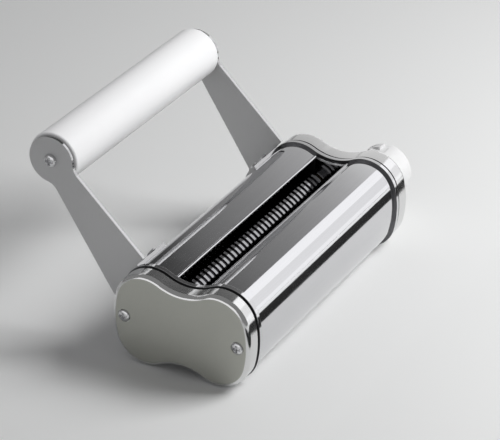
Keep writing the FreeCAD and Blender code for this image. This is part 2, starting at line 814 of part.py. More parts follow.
def drive_coupling():
    """A sleeve pinned to the driven shaft, with the square tail that the mixer turns."""
    body = new_body("drive_coupling", FAR_FACE + s.coupling_gap)
    cylinder(body, "sleeve", s.coupling_radius, s.coupling_length)
    half = s.drive_square / 2
    block(body, "tail", s.drive_square, s.drive_square, s.drive_tail_length, -half, -half, s.coupling_length)
    depth = s.shaft_reach - s.coupling_gap + s.clip_gap
    bore(body, "shaft_hole", s.journal_radius + s.seat_gap, depth)
    cross_hole(body, "pin_hole", s.coupling_pin_radius + s.seat_gap, s.coupling_radius, s.coupling_pin_offset)


def cross_hole(body, name, radius, reach, x):
    """A round hole along Z, through the axis of a body that lies along X."""
    feature = body.newObject("PartDesign::SubtractiveCylinder", name)
    feature.AttachmentSupport = [(origin_feature(body, "XY_Plane"), "")]
    feature.MapMode = "FlatFace"
    bind(feature, "AttachmentOffset.Base.x", x)
    bind(feature, "AttachmentOffset.Base.z", -reach)
    bind(feature, "Radius", radius)
    bind(feature, "Height", 2 * reach)


def coupling_pin():
    pin = doc.addObject("Part::Cylinder", "coupling_pin")
    pin.Label = "coupling_pin"
    bind(pin, "Radius", s.coupling_pin_radius)
    bind(pin, "Height", 2 * s.coupling_radius)
    place(pin, PIN_X, 0, -s.coupling_radius)
    sub_parts.append(pin)


def arm_corner(line_from, distance, side):
    """Where the neck's round corner touches the straight edge and the round head, as numbers."""
    head = FreeCAD.Vector(s.guide_back.number, s.guide_rise.number)
    reach = head - line_from
    along = math.atan2(reach.y, reach.x) + side * math.asin(distance / reach.Length)
    direction = FreeCAD.Vector(math.cos(along), math.sin(along))
    normal = FreeCAD.Vector(-direction.y, direction.x) * side
    fillet = s.arm_neck_fillet.number
    drop = distance + fillet
    span = math.sqrt((s.arm_head_radius.number + fillet) ** 2 - drop**2)
    foot = line_from + direction * (reach.dot(direction) - span)
    centre = foot + normal * fillet
    touch = head + (centre - head) * (s.arm_head_radius.number / (centre - head).Length)
    return foot, centre, touch


def arc_through(sketch, centre, first, second):
    """Add the shorter arc about centre between two points; say which end lies on first."""
    start = math.atan2(first.y - centre.y, first.x - centre.x)
    end = math.atan2(second.y - centre.y, second.x - centre.x)
    radius = (first - centre).Length
    if (end - start) % (2 * math.pi) < math.pi:
        return add_arc(sketch, (centre.x, centre.y), radius, start, end), 1
    return add_arc(sketch, (centre.x, centre.y), radius, end, start), 2


def add_arm_outline(sketch):
    """The flat arm: a round head, a necked taper and a foot that ends on the saddle's back."""
    head = FreeCAD.Vector(s.guide_back.number, s.guide_rise.number)
    front = FreeCAD.Vector(s.arm_foot_front.number, s.arm_foot_top.number)
    back = FreeCAD.Vector(s.arm_foot_back.number, -s.arm_foot_drop.number)
    half_neck = s.arm_neck_width / 2
    front_foot, front_centre, front_touch = arm_corner(front, half_neck.number, 1)
    back_foot, back_centre, back_touch = arm_corner(back, half_neck.number, -1)
    saddle_y, saddle_z, low_y = saddle_ends(s.arm_thickness)
    bend_y = CORNER_OFFSET + (CORNER_OFFSET - SIDE_CENTRE) / SIDE_SPAN * (SADDLE_RADIUS + s.arm_thickness)
    bend_z = s.corner_rise + s.corner_rise / SIDE_SPAN * (SADDLE_RADIUS + s.arm_thickness)
    upper = FreeCAD.Vector(saddle_y.number, saddle_z.number)
    bend = FreeCAD.Vector(bend_y.number, bend_z.number)
    lower = FreeCAD.Vector(low_y.number, s.saddle_low.number)
    front_edge = sketch.addGeometry(Part.LineSegment(front, front_foot), False)
    front_neck, front_end = arc_through(sketch, front_centre, front_foot, front_touch)
    start = math.atan2(back_touch.y - head.y, back_touch.x - head.x)
    end = math.atan2(front_touch.y - head.y, front_touch.x - head.x)
    head_arc = add_arc(sketch, (head.x, head.y), s.arm_head_radius.number, start, end)
    back_neck, back_end = arc_through(sketch, back_centre, back_foot, back_touch)
    back_edge = sketch.addGeometry(Part.LineSegment(back_foot, back), False)
    base = sketch.addGeometry(Part.LineSegment(back, lower), False)
    low_seat = sketch.addGeometry(Part.LineSegment(lower, bend), False)
    top_seat = sketch.addGeometry(Part.LineSegment(bend, upper), False)
    toe = sketch.addGeometry(Part.LineSegment(upper, front), False)
    for join in (
        (front_edge, 2, front_neck, front_end),
        (front_neck, 3 - front_end, head_arc, 2),
        (head_arc, 1, back_neck, 3 - back_end),
        (back_neck, back_end, back_edge, 1),
    ):
        sketch.addConstraint(Sketcher.Constraint("Tangent", *join))
    chain = (back_edge, base, low_seat, top_seat, toe, front_edge)
    for first, second in zip(chain, chain[1:]):
        sketch.addConstraint(Sketcher.Constraint("Coincident", first, 2, second, 1))
    fix_point(sketch, head_arc, 3, s.guide_back, s.guide_rise)
    fix_point(sketch, front_edge, 1, s.arm_foot_front, s.arm_foot_top)
    fix_point(sketch, base, 1, s.arm_foot_back, -s.arm_foot_drop)
    fix_point(sketch, low_seat, 1, low_y, s.saddle_low)
    fix_point(sketch, top_seat, 1, bend_y, bend_z)
    fix_point(sketch, toe, 1, saddle_y, saddle_z)
    datum(sketch, s.arm_head_radius, "Radius", head_arc)
    datum(sketch, s.arm_neck_fillet, "Radius", front_neck)
    sketch.addConstraint(Sketcher.Constraint("Equal", front_neck, back_neck))
    datum(sketch, half_neck, "Distance", head_arc, 3, front_edge)
    datum(sketch, half_neck, "Distance", head_arc, 3, back_edge)


def saddle_ends(lift):
    """Ends of the saddle's section, lift above the cover: the top's Y and Z, and the low end's Y."""
    radius = SADDLE_RADIUS + lift
    top_y = CORNER_OFFSET + cosine(s.saddle_top_degrees) * radius
    top_z = s.corner_rise + sine(s.saddle_top_degrees) * radius
    side = s.side_radius - s.cover_inset + s.seat_gap + lift
    low_y = SIDE_CENTRE + root(side * side - s.saddle_low * s.saddle_low)
    return top_y, top_z, low_y


def add_saddle_outline(sketch):
    """A strip bent to the rear cover's curve, from its full side up over the corner."""
    low = math.atan2(s.corner_rise.number, (CORNER_OFFSET - SIDE_CENTRE).number)
    top = math.radians(s.saddle_top_degrees.number)
    ends = []
    for lift in (as_dim(0), s.arm_thickness):
        top_y, top_z, low_y = saddle_ends(lift)
        side_radius = s.side_radius - s.cover_inset + s.seat_gap + lift
        bottom = math.asin(s.saddle_low.number / side_radius.number)
        side = add_arc(sketch, (SIDE_CENTRE.number, 0), side_radius.number, bottom, low)
        centre = (CORNER_OFFSET.number, s.corner_rise.number)
        corner = add_arc(sketch, centre, (SADDLE_RADIUS + lift).number, low, top)
        sketch.addConstraint(Sketcher.Constraint("Tangent", side, 2, corner, 1))
        sketch.addConstraint(Sketcher.Constraint("PointOnObject", side, 3, -1))
        fix_point(sketch, corner, 3, CORNER_OFFSET, s.corner_rise)
        fix_point(sketch, corner, 2, z=top_z)
        fix_point(sketch, side, 1, z=s.saddle_low)
        datum(sketch, SADDLE_RADIUS + lift, "Radius", corner)
        datum(sketch, side_radius, "Radius", side)
        upper = FreeCAD.Vector(top_y.number, top_z.number)
        ends.append((side, corner, FreeCAD.Vector(low_y.number, s.saddle_low.number), upper))
    (inner_side, inner_corner, inner_low, inner_top), (outer_side, outer_corner, outer_low, outer_top) = ends
    bottom_line = sketch.addGeometry(Part.LineSegment(inner_low, outer_low), False)
    top_line = sketch.addGeometry(Part.LineSegment(inner_top, outer_top), False)
    for join in (
        (bottom_line, 1, inner_side, 1),
        (bottom_line, 2, outer_side, 1),
        (top_line, 1, inner_corner, 2),
        (top_line, 2, outer_corner, 2),
    ):
        sketch.addConstraint(Sketcher.Constraint("Coincident", *join))


def arm(label, outer_face, inwards):
    """A flat arm with its foot folded into a saddle on the rear cover."""
    body = new_body(label, outer_face, MID_Y)
    plate = new_sketch(body, "arm_outline")
    add_arm_outline(plate)
    pad(body, plate, s.arm_thickness, "plate", inwards)
    heel = (s.arm_foot_back.number, -s.arm_foot_drop.number)
    round_edges(body, "heel", s.arm_heel_radius, lambda edge: along_x_at(edge, *heel))
    saddle = new_sketch(body, "saddle_outline")
    add_saddle_outline(saddle)
    pad(body, saddle, s.saddle_length, "saddle", inwards)
    start = as_dim(0) if inwards > 0 else -s.arm_thickness
    bore(body, "rod_hole", s.rod_screw_radius + s.seat_gap, s.arm_thickness, s.guide_back, s.guide_rise, start)
    rivet_holes(body, rivet_offsets(inwards))


def tilt(feature, degrees, radius, x):
    """Stand a feature on the rear cover's corner, its axis pointing away from the corner's centre."""
    turn = 90 - degrees
    feature.Placement.Rotation = FreeCAD.Rotation(FreeCAD.Vector(-1, 0, 0), turn.number)
    bind(feature, "Placement.Rotation.Angle", turn)
    y = CORNER_OFFSET + cosine(degrees) * radius
    z = s.corner_rise + sine(degrees) * radius
    place(feature, x, y, z)


def rivet_holes(body, starts):
    """Drill the rear cover or a saddle for the rivets whose places along X are given."""
    inner = SADDLE_RADIUS - s.seat_gap - s.cover_wall
    for i, x in enumerate(starts):
        hole = body.newObject("PartDesign::SubtractiveCylinder", f"rivet_hole_{i}")
        bind(hole, "Radius", s.rivet_radius + s.seat_gap)
        bind(hole, "Height", 2 * (s.cover_wall + s.arm_thickness))
        tilt(hole, s.rivet_degrees, inner - s.cover_wall, x)


def rivet_offsets(inwards):
    """Places of an arm's two rivets, along X from the arm's outer face."""
    return [s.rivet_start * inwards, (s.rivet_start + s.rivet_spacing) * inwards]


def arm_rivets(label, outer_face, inwards):
    """Two rivets through a saddle and the rear cover, with domed heads outside."""
    body = new_body(label, outer_face, MID_Y)
    head_seat = SADDLE_RADIUS + s.arm_thickness
    inner = SADDLE_RADIUS - s.seat_gap - s.cover_wall
    tail_seat = root(inner * inner - s.rivet_tail_radius * s.rivet_tail_radius) - s.seat_gap
    pieces = (
        ("shank", s.rivet_radius, tail_seat - s.rivet_tail_height, head_seat),
        ("tail", s.rivet_tail_radius, tail_seat - s.rivet_tail_height, tail_seat),
        ("head", s.rivet_head_radius, head_seat, head_seat + s.rivet_head_height),
    )
    for i, x in enumerate(rivet_offsets(inwards)):
        for name, radius, start, end in pieces:
            piece = body.newObject("PartDesign::AdditiveCylinder", f"{name}_{i}")
            bind(piece, "Radius", radius)
            bind(piece, "Height", end - start)
            tilt(piece, s.rivet_degrees, start, x)


def guide_rod():
    body = new_body("guide_rod", NEAR_ARM_OUT + s.arm_thickness, MID_Y + s.guide_back, s.guide_rise)
    cylinder(body, "bar", s.rod_radius, ROD_LENGTH)
    threads = s.rod_screw_grip + 1
    for name, x in (("near_thread", as_dim(0)), ("far_thread", ROD_LENGTH - threads)):
        bore(body, name, s.rod_screw_radius + s.seat_gap, threads, x=x)


def guide_rod_screws():
    """One pan-head screw in each end of the rod."""
    body = new_body("guide_rod_screws", 0, MID_Y + s.guide_back, s.guide_rise)
    length = s.arm_thickness + s.rod_screw_grip
    cylinder(body, "near_head", s.rod_screw_head_radius, s.rod_screw_head_height, x=NEAR_ARM_OUT - s.rod_screw_head_height)
    cylinder(body, "near_shank", s.rod_screw_radius, length, x=NEAR_ARM_OUT)
    cylinder(body, "far_head", s.rod_screw_head_radius, s.rod_screw_head_height, x=FAR_ARM_OUT)
    cylinder(body, "far_shank", s.rod_screw_radius, length, x=FAR_ARM_OUT - length)
    tops = (NEAR_ARM_OUT - s.rod_screw_head_height, FAR_ARM_OUT + s.rod_screw_head_height)
    round_edges(
        body,
        "domes",
        s.rod_screw_head_height * 0.6,
        lambda edge: any(in_plane_x(edge, top.number) for top in tops),
    )


def guide_roller():
    """A solid moulded cylinder that turns freely on the rod."""
    length = ROD_LENGTH - 2 * s.guide_end_gap
    start = NEAR_ARM_OUT + s.arm_thickness + s.guide_end_gap
    body = new_body("guide_roller", start, MID_Y + s.guide_back, s.guide_rise)
    cylinder(body, "barrel", s.guide_radius, length)
    round_edges(
        body,
        "ends",
        s.guide_edge_radius,
        lambda edge: in_plane_x(edge, 0) or in_plane_x(edge, length.number),
    )
    bore(body, "rod_bore", s.rod_radius + s.running_gap, length)


def build():
    near_end_cap()
    far_end_cap()
    gasket("near_gasket", NEAR_PLATE_OUT - s.gasket_thickness)
    gasket("far_gasket", FAR_PLATE_OUT)
    side_plate("near_side_plate", NEAR_PLATE_IN, -1)
    side_plate("far_side_plate", FAR_PLATE_IN, 1)
    cover("front_cover", -1)
    rear_cover()
    tie_rod("front_tie_rod", -SCREW_Y)
    tie_rod("rear_tie_rod", SCREW_Y)
    near_face = NEAR_PLATE_OUT - s.gasket_thickness - s.near_cap_depth
    cap_screws("near_cap_screws", near_face, -1, s.near_cap_depth)
    cap_screws("far_cap_screws", FAR_FACE, 1, s.far_cap_depth)
    comb("front_comb", as_dim(0), -1, RING_COUNT - 1)
    comb("rear_comb", ROLLER_SPACING, 1, RING_COUNT - 2)
    comb_screws("near_comb_screws", NEAR_PLATE_OUT, -1)
    comb_screws("far_comb_screws", FAR_PLATE_OUT, 1)
    shaft_end = FAR_FACE + s.shaft_reach - FAR_PLATE_OUT
    shaft_end = shaft_end - s.gear_gap - s.gear_width - s.clip_gap - s.clip_thickness - 2 * s.running_gap
    rollers = (
        ("front", as_dim(0), RING_COUNT, shaft_end, True),
        ("rear", ROLLER_SPACING, RING_COUNT - 1, s.journal_tail, False),
    )
    near_clip = NEAR_PLATE_OUT - s.clip_gap - s.running_gap - s.clip_thickness
    far_clip = FAR_PLATE_OUT + s.gear_gap + s.gear_width + s.clip_gap + s.running_gap
    for name, y, ring_count, far_end, pinned in rollers:
        roller(f"{name}_roller", y, ring_count, far_end, pinned)
        bush(f"{name}_near_bush", NEAR_PLATE_OUT, 1, y)
        bush(f"{name}_far_bush", FAR_PLATE_OUT, -1, y)
        gear(f"{name}_gear", y)
        clip(f"{name}_near_clip", near_clip, y)
        clip(f"{name}_far_clip", far_clip, y)
    drive_hub()
    hub_screws()
    drive_coupling()
    coupling_pin()
    for name, outer_face, inwards in (("near", NEAR_ARM_OUT, 1), ("far", FAR_ARM_OUT, -1)):
        arm(f"{name}_arm", outer_face, inwards)
        arm_rivets(f"{name}_arm_rivets", outer_face, inwards)
    guide_rod()
    guide_rod_screws()
    guide_roller()


def write_parts():
    doc.recompute()
    for thing in doc.Objects:
        if "Invalid" in thing.State or "Error" in thing.State:
            raise RuntimeError(f"{thing.Label} failed: {thing.State}")
    for part in sub_parts:
        if part.Shape.isNull() or not part.Shape.isValid():
            raise RuntimeError(f"{part.Label} has no sound shape")
    os.makedirs("parts", exist_ok=True)
    for part in sub_parts:
        part.Shape.exportStep(f"parts/{part.Label}.step")
    print(f"{len(sub_parts)} sub-parts, {RING_COUNT} rings on the front roller")


build()
write_parts()
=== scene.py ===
import math
import bmesh
import bpy
from mathutils import Matrix, Vector


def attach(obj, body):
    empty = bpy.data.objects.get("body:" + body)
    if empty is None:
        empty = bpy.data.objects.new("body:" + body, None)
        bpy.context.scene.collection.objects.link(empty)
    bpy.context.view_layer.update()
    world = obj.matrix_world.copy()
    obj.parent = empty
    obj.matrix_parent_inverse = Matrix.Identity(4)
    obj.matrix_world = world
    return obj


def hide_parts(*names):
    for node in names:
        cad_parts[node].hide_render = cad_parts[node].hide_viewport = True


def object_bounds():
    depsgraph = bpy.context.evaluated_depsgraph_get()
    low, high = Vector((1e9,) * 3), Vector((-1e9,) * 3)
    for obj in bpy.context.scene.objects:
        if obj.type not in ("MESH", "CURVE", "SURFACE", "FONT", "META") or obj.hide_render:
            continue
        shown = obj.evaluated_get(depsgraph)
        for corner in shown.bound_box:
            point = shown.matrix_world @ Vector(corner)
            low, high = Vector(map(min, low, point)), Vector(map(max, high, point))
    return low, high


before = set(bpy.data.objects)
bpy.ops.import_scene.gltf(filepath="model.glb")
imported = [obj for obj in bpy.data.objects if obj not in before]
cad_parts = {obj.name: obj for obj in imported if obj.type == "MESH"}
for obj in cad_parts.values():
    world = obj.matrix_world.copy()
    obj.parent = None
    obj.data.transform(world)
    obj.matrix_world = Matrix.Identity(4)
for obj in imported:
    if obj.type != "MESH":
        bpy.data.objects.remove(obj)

cad_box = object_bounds()

# Side plates. Two stamped steel plates carry the bushes and close the covers' ends. Their flats are rougher,
# and their colour there is a painted shade, near black, standing for the dark line round the covers' ends
# and the dark far end of the slot. They are polished between the covers' lips, where the dough runs, and on
# the rim, which stands half a millimetre proud.
MID_Y = 0.01275
SLOT_HALF = 0.0095
LIP_HEIGHT = 0.0195
POLISH_FADE = 0.0002


class Value:
    """A shader socket that can be used in Python arithmetic."""

    def __init__(self, tree, socket):
        self.tree = tree
        self.socket = socket

    def node(self, kind, settings, inputs, output=0):
        """Add a node: its settings first, then a value or a link for each named or numbered socket."""
        made = self.tree.nodes.new(kind)
        for key, setting in settings.items():
            if key == "stops":
                ramp = made.color_ramp.elements
                while len(ramp) < len(setting):
                    ramp.new(1.0)
                for stop, (place, colour) in zip(ramp, setting):
                    stop.position = place
                    stop.color = (*colour, 1.0)
            else:
                setattr(made, key, setting)
        for key, given in inputs.items():
            if isinstance(given, Value):
                self.tree.links.new(given.socket, made.inputs[key])
            else:
                made.inputs[key].default_value = given
        return Value(self.tree, made.outputs[output])

    def maths(self, operation, first, second=0.0):
        return self.node("ShaderNodeMath", {"operation": operation}, {0: first, 1: second})

    def __add__(self, other):
        return self.maths("ADD", self, other)

    def __sub__(self, other):
        return self.maths("SUBTRACT", self, other)

    def __rsub__(self, other):
        return self.maths("SUBTRACT", other, self)

    def __mul__(self, other):
        return self.maths("MULTIPLY", self, other)

    __radd__ = __add__
    __rmul__ = __mul__

    def between(self, low, high):
        """A smooth step from 0 at low to 1 at high."""
        steps = {"data_type": "FLOAT", "interpolation_type": "SMOOTHSTEP"}
        return self.node("ShaderNodeMapRange", steps, {"Value": self, "From Min": low, "From Max": high})

    def blend(self, first, second):
        """A colour between first and second, by this value."""
        return self.mix((*first, 1.0), (*second, 1.0))

    def mix(self, first, second):
        """One of two colours or colour sockets, or between them, by this value."""
        return self.node("ShaderNodeMix", {"data_type": "RGBA"}, {0: self, 6: first, 7: second}, 2)


class Finish:
    """A material being written: place is the Object coordinate, and shader its one Principled shader."""

    def __init__(self, name):
        self.material = bpy.data.materials.new(name)
        self.material.use_nodes = True
        tree = self.material.node_tree
        self.shader = tree.nodes["Principled BSDF"]
        self.place = Value(tree, None).node("ShaderNodeTexCoord", {}, {}, 3)
        self.tree = tree

    def axis(self, index):
        return self.place.node("ShaderNodeSeparateXYZ", {}, {0: self.place}, index)

    def noise(self, scale, detail=3.0, stretch=(1.0, 1.0, 1.0), turn=(0.0, 0.0, 0.0)):
        """Noise from 0 to 1 with so many grains to the metre, drawn out by the inverse of stretch."""
        mapping = {"Vector": self.place, "Rotation": turn, "Scale": stretch}
        laid = self.place.node("ShaderNodeMapping", {}, mapping)
        grains = {"Vector": laid, "Scale": scale, "Detail": detail}
        return self.place.node("ShaderNodeTexNoise", {"noise_dimensions": "3D"}, grains)

    def bump(self, height, depth):
        """Relief of so many metres from a height of 0 to 1."""
        relief = height.node("ShaderNodeBump", {}, {"Strength": 1.0, "Distance": depth, "Height": height})
        self.set("Normal", relief)

    def facing_x(self):
        """1 on faces that look along X either way, and 0 on those that look across it."""
        normal = self.place.node("ShaderNodeNewGeometry", {}, {}, 1)
        sideways = self.place.node("ShaderNodeSeparateXYZ", {}, {0: normal}, 0)
        return self.place.maths("ABSOLUTE", sideways).between(0.4, 0.8)

    def set(self, socket, given):
        if isinstance(given, Value):
            self.tree.links.new(given.socket, self.shader.inputs[socket])
        else:
            self.shader.inputs[socket].default_value = given


def drawn_steel(name, colour, shine, streaks, stretch, depth=2e-7):
    """Steel with fine lines from rolling, brushing or turning, and a few duller patches from handling."""
    finish = Finish(name)
    lines = finish.noise(1.0, 4.0, stretch)
    patches = finish.noise(38.0, 2.0)
    darker = tuple(part * 0.9 for part in colour)
    finish.set("Base Color", (lines * 0.6 + patches * 0.4).blend(darker, colour))
    finish.set("Metallic", 1.0)
    finish.set("Roughness", shine + lines * streaks + patches.between(0.5, 0.8) * (streaks * 0.8))
    finish.bump(lines, depth)
    return finish.material


def merge(work, near):
    """Join the points that lie nearer than so many metres, and take out faces with no area."""
    bmesh.ops.remove_doubles(work, verts=work.verts, dist=near)
    bmesh.ops.dissolve_degenerate(work, edges=work.edges, dist=1e-7)


def crease(work, sharp):
    """Shade every face smooth, but for the corners sharper than so many degrees."""
    limit = math.radians(sharp)
    for face in work.faces:
        face.smooth = True
    for line in work.edges:
        line.smooth = len(line.link_faces) == 2 and line.calc_face_angle(0.0) < limit


def dressed(node, body, material, edge=0.0):
    """A merged copy of a CAD node with smooth curves, crisp corners and, if asked, a fine broken edge."""
    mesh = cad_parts[node].data.copy()
    work = bmesh.new()
    work.from_mesh(mesh)
    merge(work, 2e-6)
    if edge:
        flat = math.radians(0.5)
        bmesh.ops.dissolve_limit(work, angle_limit=flat, verts=work.verts, edges=work.edges)
    crease(work, 28.0)
    work.to_mesh(mesh)
    work.free()
    mesh.materials.clear()
    mesh.materials.append(material)
    piece = bpy.data.objects.new(node + "_dressed", mesh)
    bpy.context.scene.collection.objects.link(piece)
    if edge:
        bevel = piece.modifiers.new("edge", "BEVEL")
        bevel.width = edge
        bevel.segments = 2
        bevel.limit_method = "ANGLE"
        bevel.angle_limit = math.radians(40.0)
        bevel.harden_normals = True
    weighted = piece.modifiers.new("normals", "WEIGHTED_NORMAL")
    weighted.keep_sharp = True
    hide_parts(node)
    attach(piece, body)


plate_steel = Finish("plate_steel")
rolled = plate_steel.noise(1.0, 4.0, (900.0, 60.0, 60.0))
off_middle = plate_steel.place.maths("ABSOLUTE", plate_steel.axis(1) - MID_Y)
off_axis = plate_steel.place.maths("ABSOLUTE", plate_steel.axis(2))
within_slot = 1 - off_middle.between(SLOT_HALF - POLISH_FADE, SLOT_HALF + POLISH_FADE)
below_lips = 1 - off_axis.between(LIP_HEIGHT - POLISH_FADE, LIP_HEIGHT + POLISH_FADE)
# painted shade: the X-facing flats outside the polished strip between the lips get the near-black colour
# below
rough_flat_and_painted_shade = plate_steel.facing_x() * (1 - within_slot * below_lips)
polish = rolled.blend((0.65, 0.65, 0.66), (0.73, 0.73, 0.74))
# the near-black colour on the flats is painted shade, not the steel's own tone; the flats' extra roughness is
# real
plate_steel.set("Base Color", rough_flat_and_painted_shade.mix(polish, (0.17, 0.17, 0.175, 1.0)))
plate_steel.set("Metallic", 1.0)
plate_steel.set("Roughness", 0.06 + rolled * 0.05 + rough_flat_and_painted_shade * 0.28)
plate_steel.bump(rolled, 2e-7)
for end in ("near", "far"):
    dressed(f"{end}_side_plate", "frame", plate_steel.material, edge=0.0002)

# Gaskets. A black rubber ring between each plate and its cap, cut from sheet and set in a little from the
# rim, so that it shows as a dark line.
rubber = Finish("black_rubber")
grain = rubber.noise(900.0, 3.0)
rubber.set("Base Color", grain.blend((0.012, 0.012, 0.012), (0.03, 0.03, 0.031)))
rubber.set("Roughness", 0.62 + grain * 0.2)
rubber.bump(grain, 2e-5)
for end in ("near", "far"):
    dressed(f"{end}_gasket", "frame", rubber.material)

# Bushes. Flanged sleeves of sintered bronze, pressed into the plates from inside, carry the journals.
# They are porous and brown, with a burnished bore.
bronze = Finish("sintered_bronze")
pores = bronze.noise(2600.0, 2.0)
bronze.set("Base Color", pores.between(0.35, 0.6).blend((0.28, 0.18, 0.08), (0.62, 0.46, 0.25)))
bronze.set("Metallic", 1.0)
bronze.set("Roughness", 0.55 - pores * 0.2)
bronze.bump(pores, 1e-5)
for row in ("front", "rear"):
    for end in ("near", "far"):
        dressed(f"{row}_{end}_bush", "frame", bronze.material)

# Cutting rollers. Steel bars, ground round, with a square-edged ring every four millimetres; the rings of one
# roller run in the grooves of the other and shear the dough between them. The journals are in one piece.
RING_RADIUS = 0.0132
RING_WIDTH = 0.0018
GROOVE_RADIUS = 0.0107
PITCH = 0.004
MIDDLE = -0.0915
HALF_LENGTH = 0.073
ROLLER_SIDES = 56
JOURNAL = 0.005
CLIP_SEAT = 0.0041
CLIP_GROOVE = 0.0011
TO_NEAR_CLIP, TO_FAR_CLIP = 0.00505, 0.01185
NEAR_STUB = 0.0023
FRONT_FAR_END, REAR_FAR_END = 0.010, -0.00435
BROKEN_EDGE = 0.0003


def turned(profile, sides, y, z):
    """A closed body of revolution about a line along X, from (x, radius) points that begin and end on it."""
    work = bmesh.new()
    rings = []
    for x, radius in profile:
        if radius == 0.0:
            rings.append([work.verts.new((x, y, z))])
            continue
        turn = [2 * math.pi * i / sides for i in range(sides)]
        rings.append([work.verts.new((x, y + radius * math.cos(a), z + radius * math.sin(a))) for a in turn])
    for first, second in zip(rings, rings[1:]):
        for i in range(sides):
            j = (i + 1) % sides
            corners = [first[i % len(first)], second[i % len(second)]]
            corners += [second[j % len(second)], first[j % len(first)]]
            unlike = list(dict.fromkeys(corners))
            if len(unlike) > 2:
                work.faces.new(unlike)
    bmesh.ops.recalc_face_normals(work, faces=work.faces)
    return work


def made(name, work, material, sharp=30.0):
    """A mesh object from a bmesh, smooth but for the corners sharper than so many degrees."""
    crease(work, sharp)
    mesh = bpy.data.meshes.new(name)
    work.to_mesh(mesh)
    work.free()
    mesh.materials.append(material)
    piece = bpy.data.objects.new(name, mesh)
    bpy.context.scene.collection.objects.link(piece)
    return piece


def tree_node(tree, kind, settings, inputs):
    """Add a geometry node: its settings, then a value or a link for each named or numbered socket."""
    node = tree.nodes.new(kind)
    for key, setting in settings.items():
        setattr(node, key, setting)
    for key, given in inputs.items():
        if isinstance(given, bpy.types.NodeSocket):
            tree.links.new(given, node.inputs[key])
        else:
            node.inputs[key].default_value = given
    return node


def new_tree(name, sizes):
    """An empty geometry tree that takes and gives a mesh, with a named input for each size."""
    tree = bpy.data.node_groups.new(name, "GeometryNodeTree")
    tree.interface.new_socket("Mesh", in_out="INPUT", socket_type="NodeSocketGeometry")
    tree.interface.new_socket("Mesh", in_out="OUTPUT", socket_type="NodeSocketGeometry")
    for size, kind in sizes.items():
        tree.interface.new_socket(size, in_out="INPUT", socket_type=kind)
    return tree, tree.nodes.new("NodeGroupInput"), tree.nodes.new("NodeGroupOutput")


def settle(piece, tree, sizes):
    """Run a tree on a piece with the sizes given, and keep the plain mesh that it makes."""
    modifier = piece.modifiers.new(tree.name, "NODES")
    modifier.node_group = tree
    names = {item.name: item.identifier for item in tree.interface.items_tree if item.in_out == "INPUT"}
    for size, number in sizes.items():
        modifier[names[size]] = number
    ready = piece.evaluated_get(bpy.context.evaluated_depsgraph_get())
    mesh = bpy.data.meshes.new_from_object(ready)
    mesh.name = piece.name
    work = bmesh.new()
    work.from_mesh(mesh)
    merge(work, 1e-6)
    work.to_mesh(mesh)
    work.free()
    piece.modifiers.clear()
    piece.data = mesh


ground_steel = drawn_steel("ground_steel", (0.36, 0.36, 0.37), 0.07, 0.07, (5200.0, 260.0, 260.0))
rings_tree, taken, given = new_tree(
    "cutting_rings",
    {
        "Rings": "NodeSocketInt",
        "First": "NodeSocketVector",
        "Pitch": "NodeSocketFloat",
        "Radius": "NodeSocketFloat",
        "Width": "NodeSocketFloat",
    },
)
blank = tree_node(
    rings_tree,
    "GeometryNodeMeshCylinder",
    {"fill_type": "NGON"},
    {"Vertices": ROLLER_SIDES, "Radius": taken.outputs["Radius"], "Depth": taken.outputs["Width"]},
)
rounded = tree_node(
    rings_tree,
    "GeometryNodeSetShadeSmooth",
    {"domain": "FACE"},
    {0: blank.outputs["Mesh"], 1: blank.outputs["Side"], 2: True},
)
turned_ring = tree_node(
    rings_tree,
    "GeometryNodeTransform",
    {},
    {"Geometry": rounded.outputs[0], "Rotation": (0.0, math.pi / 2, 0.0)},
)
step = tree_node(rings_tree, "ShaderNodeCombineXYZ", {}, {0: taken.outputs["Pitch"]})
line = tree_node(
    rings_tree,
    "GeometryNodeMeshLine",
    {"mode": "OFFSET"},
    {"Count": taken.outputs["Rings"], "Start Location": taken.outputs["First"], "Offset": step.outputs[0]},
)
placed = tree_node(
    rings_tree,
    "GeometryNodeInstanceOnPoints",
    {},
    {"Points": line.outputs[0], "Instance": turned_ring.outputs[0]},
)
real = tree_node(rings_tree, "GeometryNodeRealizeInstances", {}, {0: placed.outputs[0]})
joined = tree_node(rings_tree, "GeometryNodeMeshBoolean", {"operation": "UNION", "solver": "EXACT"}, {})
rings_tree.links.new(taken.outputs["Mesh"], joined.inputs["Mesh 2"])
rings_tree.links.new(real.outputs[0], joined.inputs["Mesh 2"])
coloured = tree_node(
    rings_tree, "GeometryNodeSetMaterial", {}, {"Geometry": joined.outputs[0], "Material": ground_steel}
)
rings_tree.links.new(coloured.outputs[0], given.inputs[0])

